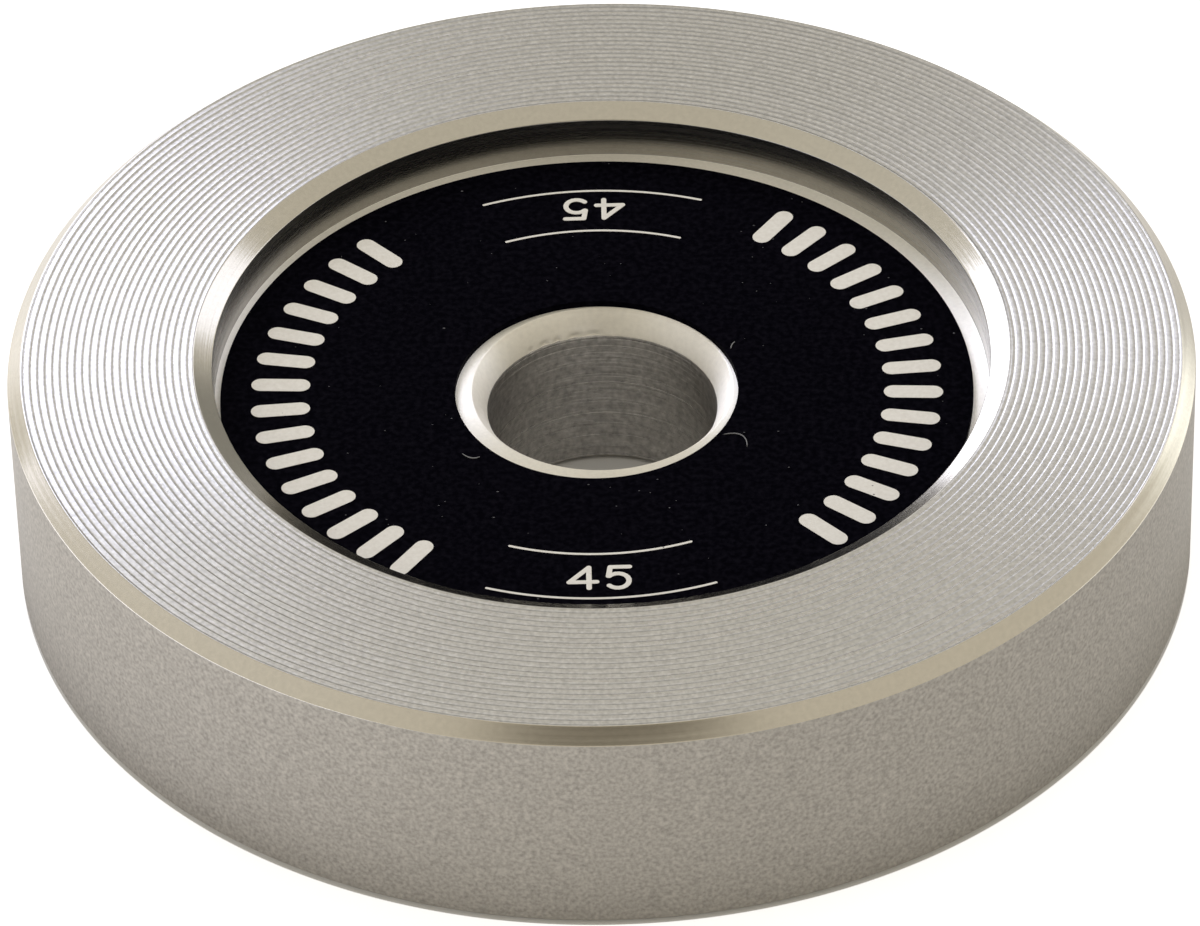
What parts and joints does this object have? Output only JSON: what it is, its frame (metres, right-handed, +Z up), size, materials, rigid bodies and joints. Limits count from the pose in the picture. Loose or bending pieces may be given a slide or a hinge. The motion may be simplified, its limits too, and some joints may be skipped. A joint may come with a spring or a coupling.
{
  "type": "record spindle adapter",
  "caption": "Round turned metal puck that fills the large centre hole of a single record and centres it on a turntable spindle, with a printed disc in its top recess.",
  "frame": {"origin": "on the flat underside, at the centre of the spindle bore", "axes": "+Z up along the bore, out of the recessed top face; +X to the right as the picture sees it"},
  "size_m": [0.038, 0.038, 0.0077],
  "materials": {
    "turned_aluminium": "fine turned grooves on the top face, matte wall, bright bevels",
    "label_black": "black printed disc with a slight sheen",
    "print_white": "warm white printed marks"
  },
  "bodies": {
    "root": {"adapter_body": "turned_aluminium", "label_disc": "label_black"}
  },
  "joints": []
}
